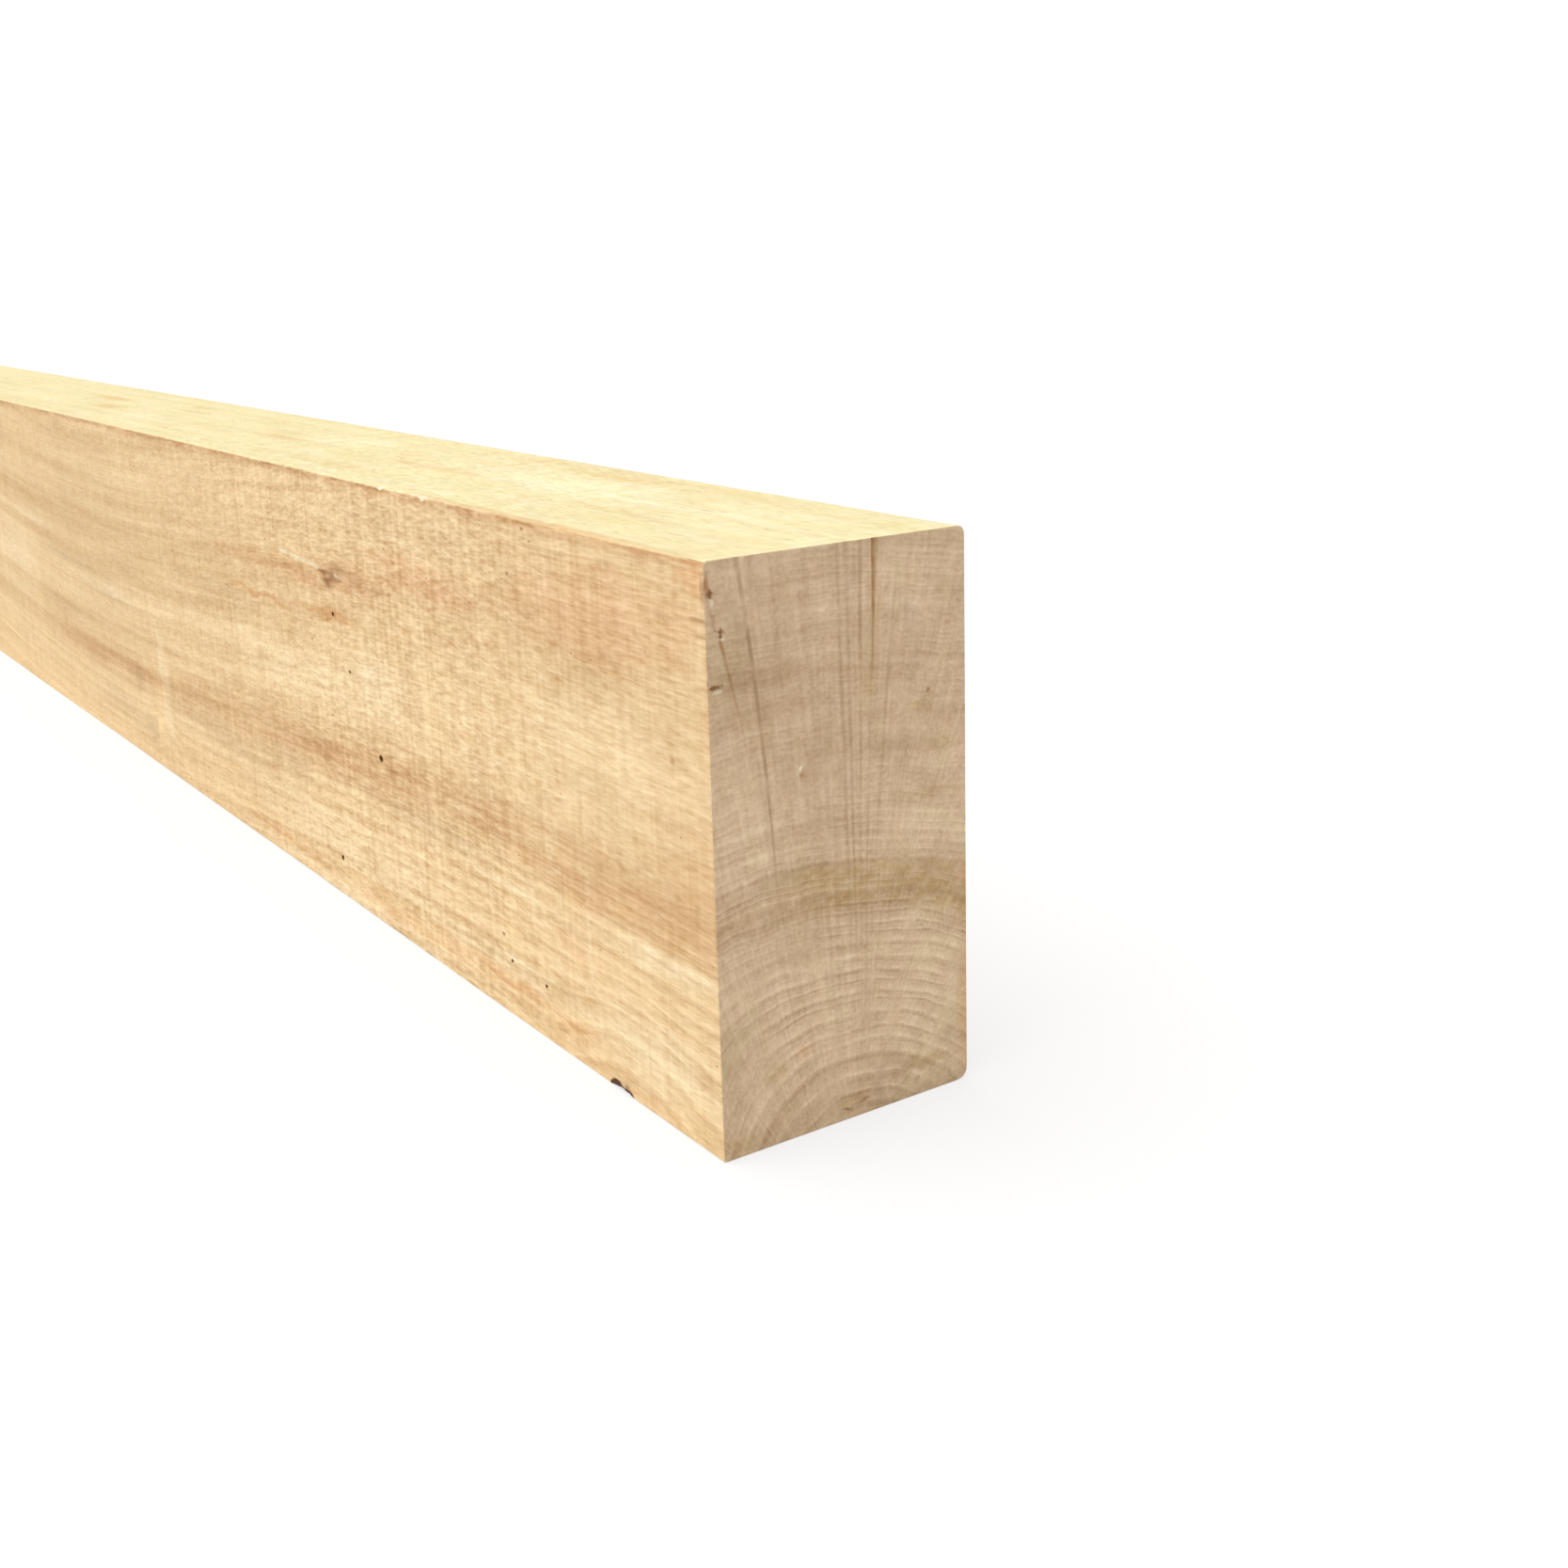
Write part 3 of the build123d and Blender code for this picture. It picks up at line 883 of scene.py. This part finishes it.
def end_patches(colours):
    """Patches on the cut end. Each has its distance from the front side, its height, half width and
    half height, and its strength."""
    table = [
        (colours.end_dark, [(20, 160, 30, 40, 0.14)]),
        # This broad pale patch over the lower end is partly paler wood by the pith and partly painted
        # light against the shade near the floor.
        (colours.end_pale, [(52, 24, 80, 70, 0.22)]),
        (colours.end_olive, [(8, 168, 12, 26, 0.35)]),
        (colours.end_pale, [(12, 120, 16, 28, 0.20)]),
        (colours.end_olive, [(3, 37, 10, 16, 0.45)]),
        (colours.end_band, [(62, 156, 6, 22, 0.35), (66, 180, 4, 24, 0.35)]),
        (colours.end_olive, [(74, 130, 20, 5, 0.35)]),
        (colours.end_band, [(92, 127, 14, 5, 0.30), (88, 110, 24, 3.5, 0.35)]),
        (colours.end_olive, [(42, 132, 8, 6, 0.20), (28, 92, 18, 6, 0.30)]),
        (colours.end_dark, [(25, 124, 24, 12, 0.12)]),
        (colours.end_pale, [
            (86, 97, 28, 14, 0.50), (92, 120, 16, 6, 0.40), (84, 184, 24, 20, 0.30),
            (92, 150, 16, 14, 0.30), (18, 101, 10, 5, 0.40), (88, 66, 26, 9, 0.45),
            (92, 51, 22, 12, 0.60), (52, 58, 40, 3, 0.45), (82, 30, 34, 22, 0.50),
            (48, 40, 14, 12, 0.25), (88, 8, 26, 10, 0.55),
        ]),
        (colours.end_olive, [(12, 44, 14, 10, 0.25)]),
        (colours.end_band, [(22, 25, 8, 5, 0.40)]),
        (colours.pink, [(33, 30, 6, 4, 0.25)]),
        (colours.end_band, [(52, 6, 12, 7, 0.45), (84, 12, 18, 3, 0.50), (7, 4, 14, 5, 0.45)]),
        (colours.orange, [(103, 30, 5, 50, 0.25), (103, 78, 5, 8, 0.35)]),
        # Painted shade darkens a small pit here.
        (colours.hollow, [(87, 146, 1.8, 1.8, 0.60)]),
        (colours.end_band, [(84, 141, 9, 4, 0.35)]),
        (colours.stain, [(35.7, 126.4, 1.6, 2.0, 0.60)]),
        (colours.fresh, [(35.0, 128.6, 1.2, 1.4, 0.80)]),
        (colours.stain, [(1.0, 193, 1.2, 6.5, 0.90), (2.6, 181, 1.6, 6.0, 0.45)]),
        # Painted shade darkens two spots by the bottom edge.
        (colours.hollow, [(50, 3.4, 4, 0.9, 0.60), (57, 5.0, 6, 0.9, 0.55)]),
    ]
    return [((CUT_END, FRONT + across, z), (PATCH_REACH, half_y, half_z), colour, strength)
            for colour, patches in table for across, z, half_y, half_z, strength in patches]


def brown_band(tree, wood):
    """How much of the brown growth band shows on the front side, where the saw ran along it."""
    low, high, ripple = 64.0, 100.0, 7.0
    rippled = lumps(tree, wood["run"], (70, 30, 9), 2, 12)
    wavy = add_node(tree, "Math", [rippled, ripple, wood["run_height"]], operation="MULTIPLY_ADD")
    height = add_node(tree, "MapRange", [wavy, low, high, 0.0, 1.0])
    band = add_node(tree, "ValToRGB", [height])
    fill_ramp(band, (
        (0.0, 0), (0.14, 0.3), (0.28, 0.35), (0.36, 0.8), (0.43, 0.5), (0.54, 0.8), (0.64, 0.45),
        (0.8, 0.25), (1.0, 0),
    ))
    # It all but stops 0.6 m from the cut end, comes back there and ends before 0.9 m.
    band_length = 900.0
    along = add_node(tree, "MapRange", [wood["from_end"], 0.0, band_length, 0.0, 1.0])
    fade = add_node(tree, "ValToRGB", [along])
    fill_ramp(fade, (
        (0.0, 0.5), (0.08, 0.85), (0.3, 0.85), (0.42, 1.0), (0.52, 0.65), (0.61, 0.6), (0.64, 0.15),
        (0.665, 0.15), (0.69, 0.7), (0.88, 0.45), (0.97, 0),
    ))
    broken = scattered(tree, wood["run"], (80, 2.2, 2.2), 2, 13, (0.35, 0.6), (0.08, 1.0))
    near_front = add_node(tree, "MapRange", [wood["y"], FRONT + 5, FRONT + 30, 0.74, 0.0])
    share = band
    for factor in (fade, broken, near_front):
        share = add_node(tree, "Math", [share, factor], operation="MULTIPLY")
    return share


def make_long_grain(sizes, colours):
    """Oak, sawn along the grain: a matte surface of torn fibre ends lying along the beam, crossed by
    the upright marks of the saw's teeth. Their light and dark dashes are partly pores and fibre, and
    partly painted highlight and shadow of the fuzzy surface."""
    material, tree = start_material("oak_sawn_along_the_grain")
    wood = wood_places(tree)
    run, place, from_end = wood["run"], wood["place"], wood["from_end"]
    fibre, tooth = sizes.fibre / MM, sizes.tooth / MM
    # The saw tore the fibres most from 0.15 to 0.3 m from the cut end, least from 0.7 to 1 m, and more
    # again beyond. Near the top of the sides they are torn a fifth more. Where they are torn less, long
    # streaks show instead, and fine lines do so most from 0.4 to 0.6 m.
    changing_length = 1400.0
    stretch = add_node(tree, "MapRange", [from_end, 0.0, changing_length, 0.0, 1.0])
    torn = add_node(tree, "ValToRGB", [stretch])
    fill_ramp(torn, (
        (0.0, 0.64), (0.07, 0.68), (0.11, 1.0), (0.22, 1.0), (0.30, 0.68), (0.5, 0.34), (0.7, 0.30),
        (1.0, 0.72),
    ))
    lined = add_node(tree, "ValToRGB", [stretch])
    fill_ramp(lined, ((0.0, 0.0), (0.18, 0.05), (0.28, 0.60), (0.43, 0.60), (0.57, 0.25), (1.0, 0.2)))
    rougher = add_node(tree, "MapRange", [wood["z"], 135.0, 175.0, 1.0, 1.2])
    half_torn = add_node(tree, "Math", [torn, 0.5, 0.5], operation="MULTIPLY_ADD")
    streaked = add_node(tree, "MapRange", [torn, 0.9, 0.4, 0.2, 0.75])
    # These fine dashes of fibre and tooth marks are partly real pores and fibre, and partly painted
    # highlights and shadows of the fuzzy sawn surface.
    fine = layer(tree, 0.5, [
        (lumps(tree, run, (3.9 * fibre, 0.9 * fibre, 0.9 * fibre), 1, 3), 0.94),
        (lumps(tree, run, (7.5 * fibre, 1.8 * fibre, 1.8 * fibre), 1, 4), 0.90),
        (lumps(tree, place, (tooth, 900, 40), 1, 5), 0.60),
    ])
    broad = layer(tree, 0.5, [
        (lumps(tree, run, (60, 5, 5), 1, 6), 0.33),
        (lumps(tree, run, (14, 5, 5), 1, 7), 0.23),
        (lumps(tree, place, (4.5 * tooth, 900, 110), 1, 8), 0.30),
        (lumps(tree, place, (60, 40, 26), 1, 11), 0.10),
    ])
    # The rings show in the arches by the lower front arris, and here and there elsewhere. From 0.24 to
    # 0.46 m from the cut end they fade to half.
    rings = ring_tone(tree, sizes, wood["radius"])
    here_and_there = scattered(tree, run, (160, 60, 40), 1, 9, (0.4, 0.62), (0.05, 0.24))
    low_down = add_node(tree, "MapRange", [wood["run_height"], 62.0, 88.0, 0.37, 0.0])
    ring_strength = add_node(tree, "Math", [here_and_there, low_down], operation="MAXIMUM")
    near = add_node(tree, "MapRange", [from_end, 240.0, 460.0, 1.0, 0.5])
    ring_strength = add_node(tree, "Math", [ring_strength, near], operation="MULTIPLY")
    tone = layer(tree, 0.5, [
        (fine, add_node(tree, "Math", [torn, rougher], operation="MULTIPLY")),
        (broad, half_torn),
        (lumps(tree, run, (130, 3.2, 3.2), 1, 17), lined),
        (lumps(tree, run, (500, 10, 10), 1, 10), streaked),
        (rings, ring_strength),
        (growth_tone(tree, wood["radius"]), 0.76),
    ])
    ragged = ragged_place(tree, place, (36, 8, 10))
    colour = lay_patches(tree, colours.side, ragged, front_patches(colours))
    band = brown_band(tree, wood)
    colour = add_node(tree, "Mix", {0: band, 6: colour, 7: colours.streak}, 2, data_type="RGBA")
    # The wood just below the upper front arris is darkened, in broken patches.
    rim = add_node(tree, "MapRange", [wood["z"], TOP - 5.0, TOP - 1.0, 0.0, 1.0])
    rim_broken = scattered(tree, run, (26, 5, 3), 2, 15, (0.35, 0.6), (0.2, 0.85))
    share = add_node(tree, "Math", [rim, rim_broken], operation="MULTIPLY")
    colour = add_node(tree, "Mix", {0: share, 6: colour, 7: colours.streak}, 2, data_type="RGBA")
    colour = vary_hue(tree, colour, run, (18, 6, 6), 0.05)
    colour = lay_grain(tree, colour, tone, colours.side, colours.side_dark)
    # A few small dark specks show where a cluster of pores or the trace of a bud was cut.
    specks = scattered(tree, run, (3.4, 1.5, 1.5), 0, 14, (0.19, 0.13), (0.0, 0.7))
    colour = add_node(tree, "Mix", {0: specks, 6: colour, 7: colours.stain}, 2, data_type="RGBA")
    colour = lay_patches(tree, colour, place, front_specks(colours))
    # The top is smoother than the sides and painted paler, a painted highlight for the stronger light on
    # it, and grey specks lie on it.
    painted_lit_top_colour = lay_patches(tree, colours.top, ragged, top_patches(colours))
    painted_lit_top_colour = vary_hue(tree, painted_lit_top_colour, run, (40, 8, 8), 0.13)
    painted_lit_top_colour = lay_grain(tree, painted_lit_top_colour, tone, colours.top, colours.top_dark)
    specks = scattered(tree, run, (12, 2.2, 2.2), 1, 16, (0.33, 0.24), (0.0, 0.6))
    painted_lit_top_colour = add_node(tree, "Mix", {0: specks, 6: painted_lit_top_colour, 7: colours.grey}, 2, data_type="RGBA")
    on_top = add_node(tree, "MapRange", [wood["z"], TOP - 1.1, TOP - 0.5, 0.0, 1.0])
    colour = add_node(tree, "Mix", {0: on_top, 6: colour, 7: painted_lit_top_colour}, 2, data_type="RGBA")
    colour = lay_marks(tree, colour, colours)
    roughness = add_node(tree, "MapRange", [fine, 0.2, 0.8, 0.86, 0.72])
    finish_surface(tree, colour, roughness, fine, depth=0.30 * MM, gloss=0.25)
    return material


def make_end_grain(sizes, colours):
    """Oak, cross-cut: the fibres' open ends drink the light, so it is greyer and darker than the
    sides. Growth rings arch over the pith and rays fan out from it."""
    material, tree = start_material("oak_cross_cut_end_grain")
    wood = wood_places(tree)
    place, radius, ray = wood["place"], wood["radius"], wood["ray"]
    # The rays and rings as a flat map: about a millimetre a unit, across the rays and along them.
    ring_map = add_node(tree, "CombineXYZ", [ray, radius])
    rings = ring_tone(tree, sizes, radius)
    ring_strength = scattered(tree, ring_map, (30, 24, 9), 1, 1, (0.38, 0.62), (0.10, 0.44))
    near_pith = add_node(tree, "MapRange", [radius, 95.0, 150.0, 1.0, 0.38])
    ring_strength = add_node(tree, "Math", [ring_strength, near_pith], operation="MULTIPLY")
    # Pores, their rows along the rings, and fine rays, all drawn coarser than real ones, so that they
    # show.
    fine = layer(tree, 0.5, [
        (lumps(tree, place, (3, 1.4, 1.4), 2, 2), 0.40),
        (lumps(tree, ring_map, (3.4, 1.3, 9), 1, 3), 0.32),
        (lumps(tree, ring_map, (1.9, 30, 9), 1, 4), 0.36),
    ])
    tone = layer(tree, fine, [
        (rings, ring_strength),
        (growth_tone(tree, radius), 0.42),
        (lumps(tree, place, (20, 5, 5), 1, 5), 0.34),
        (lumps(tree, ring_map, (60, 6, 9), 1, 6), 0.40),
        (lumps(tree, place, (40, 24, 24), 1, 7), 0.22),
    ])
    # The broad rays that show as lines: their numbers across the map, and how strongly they show.
    first, last, half_width = -25.0, 35.0, 0.02
    broad_rays = (
        (-18.2, 0.35), (-5.4, 0.9), (-2.0, 0.8), (3.0, 1.0), (8.3, 0.9), (16.6, 0.6), (27.5, 0.3),
    )
    ray_place = add_node(tree, "MapRange", [ray, first, last, 0.0, 1.0])
    lines = add_node(tree, "ValToRGB", [ray_place])
    stops = []
    for number, shown in broad_rays:
        at = (number - first) / (last - first)
        stops += [(at - half_width, 0), (at, shown), (at + half_width, 0)]
    fill_ramp(lines, stops)
    broken = scattered(tree, ring_map, (6, 45, 9), 1, 8, (0.35, 0.6), (0.15, 0.6))
    line_share = add_node(tree, "Math", [lines, broken], operation="MULTIPLY")
    outside = add_node(tree, "MapRange", [radius, 60.0, 100.0, 0.3, 1.0])
    line_share = add_node(tree, "Math", [line_share, outside], operation="MULTIPLY")
    ragged = ragged_place(tree, place, (0, 6, 6))
    colour = lay_patches(tree, colours.end, ragged, end_patches(colours))
    # The brown growth band, clearest from the middle to the back.
    band_radius, band_half_width = 112.0, 11.5
    radius_only = add_node(tree, "CombineXYZ", [radius])
    band = oval_share(tree, radius_only, (band_radius, 0, 0), (band_half_width, 1, 1), 0.4)
    across = add_node(tree, "MapRange", [wood["y"], FRONT + 18, FRONT + 42, 0.10, 0.75])
    patchy = scattered(tree, place, (30, 7, 4), 2, 9, (0.35, 0.62), (0.3, 1.0))
    for factor in (across, patchy):
        band = add_node(tree, "Math", [band, factor], operation="MULTIPLY")
    for share, shown in ((band, colours.end_band), (line_share, colours.ray_line)):
        colour = add_node(tree, "Mix", {0: share, 6: colour, 7: shown}, 2, data_type="RGBA")
    colour = vary_hue(tree, colour, place, (30, 9, 9), 0.05)
    colour = lay_grain(tree, colour, tone, colours.end, colours.end_dark)
    colour = lay_marks(tree, colour, colours)
    roughness = add_node(tree, "MapRange", [fine, 0.2, 0.8, 0.95, 0.8])
    finish_surface(tree, colour, roughness, tone, depth=0.25 * MM, gloss=0.15)
    return material


class OAKBEAM_OT_beam(bpy.types.Operator):
    """Build the sawn beam with its arrises, checks, knot and holes"""

    bl_idname = "oak_beam.build_beam"
    bl_label = "Build beam"

    def execute(self, context):
        sizes, colours = context.scene.oak_beam_sizes, context.scene.oak_beam_colours
        mesh = make_beam_mesh(sizes)
        mesh.materials.append(make_long_grain(sizes, colours))
        mesh.materials.append(make_end_grain(sizes, colours))
        beam = bpy.data.objects.new("sawn_oak_beam", mesh)
        context.scene.collection.objects.link(beam)
        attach(beam, "root")
        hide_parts(NODE)
        return {"FINISHED"}


def add_sun(scene, name, strength, spread, elevation, heading):
    """A lamp with parallel light, its spread, elevation and heading in degrees."""
    lamp = bpy.data.lights.new(name, "SUN")
    lamp.energy = strength
    lamp.angle = radians(spread)
    sun = bpy.data.objects.new(name, lamp)
    elevation, heading = radians(elevation), radians(heading)
    towards = Vector((cos(elevation) * sin(heading), -cos(elevation) * cos(heading), sin(elevation)))
    sun.rotation_euler = towards.to_track_quat("Z", "Y").to_euler()
    scene.collection.objects.link(sun)


def make_floor_material():
    """Matte white paper. Seen straight by the camera it is lifted to white, and keeps a soft shadow."""
    material, tree = start_material("white_paper_floor")
    camera_ray = add_node(tree, "LightPath", output="Is Camera Ray")
    plain = add_node(tree, "BsdfDiffuse", {"Color": linear("#E5E5E5")})
    shaded = add_node(tree, "BsdfDiffuse", {"Color": linear("#959595")})
    lift = add_node(tree, "Emission", {"Color": WHITE, "Strength": 0.67})
    seen = add_node(tree, "AddShader", [shaded, lift])
    surface = add_node(tree, "MixShader", [camera_ray, plain, seen])
    add_node(tree, "OutputMaterial", {"Surface": surface})
    return material


def make_world(strength):
    """Even pale light from all round, and plain white behind everything."""
    world = bpy.data.worlds.new("studio")
    world.use_nodes = True
    tree = world.node_tree
    tree.nodes.clear()
    camera_ray = add_node(tree, "LightPath", output="Is Camera Ray")
    light = add_node(tree, "Background", {"Color": WHITE, "Strength": strength})
    backdrop = add_node(tree, "Background", {"Color": WHITE, "Strength": 1.0})
    surface = add_node(tree, "MixShader", [camera_ray, light, backdrop])
    add_node(tree, "OutputWorld", {"Surface": surface})
    return world


def add_camera(scene, sizes):
    """The camera where the photograph was taken from, beyond the cut end and in front of the beam."""
    image_side = 1667
    optical_row = 700
    yaw, tilt, roll = radians(55.37), radians(12.78), radians(-1.56)
    place = Vector((1666.0, -344.8, 293.8)) * MM
    lens = bpy.data.cameras.new("camera")
    lens.sensor_width = 36.0
    lens.lens = sizes.focal
    lens.shift_y = (optical_row - image_side / 2) / image_side
    lens.clip_start, lens.clip_end = 0.02, 200.0
    camera = bpy.data.objects.new("camera", lens)
    turns = ((yaw, "Z"), (pi / 2 - tilt, "X"), (roll, "Z"))
    turned, tilted, rolled = (Matrix.Rotation(angle, 4, axis) for angle, axis in turns)
    camera.matrix_world = Matrix.Translation(place) @ (turned @ tilted @ rolled)
    scene.collection.objects.link(camera)
    scene.camera = camera


class OAKBEAM_OT_stage(bpy.types.Operator):
    """Set the camera, the floor and the lamp"""

    bl_idname = "oak_beam.set_stage"
    bl_label = "Set stage"

    def execute(self, context):
        scene = context.scene
        sizes = scene.oak_beam_stage
        add_camera(scene, sizes)
        half = sizes.floor / 2
        corners = [(-half, -half, 0), (half, -half, 0), (half, half, 0), (-half, half, 0)]
        mesh = bpy.data.meshes.new("floor")
        mesh.from_pydata(corners, [], [(0, 1, 2, 3)])
        mesh.materials.append(make_floor_material())
        floor = bpy.data.objects.new("floor", mesh)
        scene.collection.objects.link(floor)
        scene.world = make_world(sizes.ambient)
        add_sun(scene, "overhead_lamp", sizes.lamp, spread=60, elevation=68, heading=-25)
        scene.view_settings.view_transform = "Standard"
        return {"FINISHED"}


class OAKBEAM_PT_panel(bpy.types.Panel):
    """Lists the beam's sizes, colours and steps"""

    bl_idname = "OAKBEAM_PT_panel"
    bl_label = "Oak beam"
    bl_space_type = "VIEW_3D"
    bl_region_type = "UI"
    bl_category = "Oak beam"

    def draw(self, context):
        scene = context.scene
        for group in (scene.oak_beam_sizes, scene.oak_beam_colours, scene.oak_beam_stage):
            box = self.layout.box()
            for name in group.__annotations__:
                box.prop(group, name)
        for step in STEPS:
            self.layout.operator(step.bl_idname)


STEPS = (OAKBEAM_OT_stage, OAKBEAM_OT_beam)
GROUPS = {"oak_beam_sizes": BeamSizes, "oak_beam_colours": BeamColours, "oak_beam_stage": StageSizes}
CLASSES = (*GROUPS.values(), *STEPS, OAKBEAM_PT_panel)


def register():
    for cls in CLASSES:
        bpy.utils.register_class(cls)
    for name, group in GROUPS.items():
        setattr(bpy.types.Scene, name, bpy.props.PointerProperty(type=group))


def unregister():
    for name in GROUPS:
        delattr(bpy.types.Scene, name)
    for cls in reversed(CLASSES):
        bpy.utils.unregister_class(cls)


def main():
    """Builds everything in order."""
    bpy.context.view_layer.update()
    register()
    bpy.ops.oak_beam.set_stage()
    bpy.ops.oak_beam.build_beam()
    bpy.context.view_layer.update()


if __name__ == "__main__":
    main()
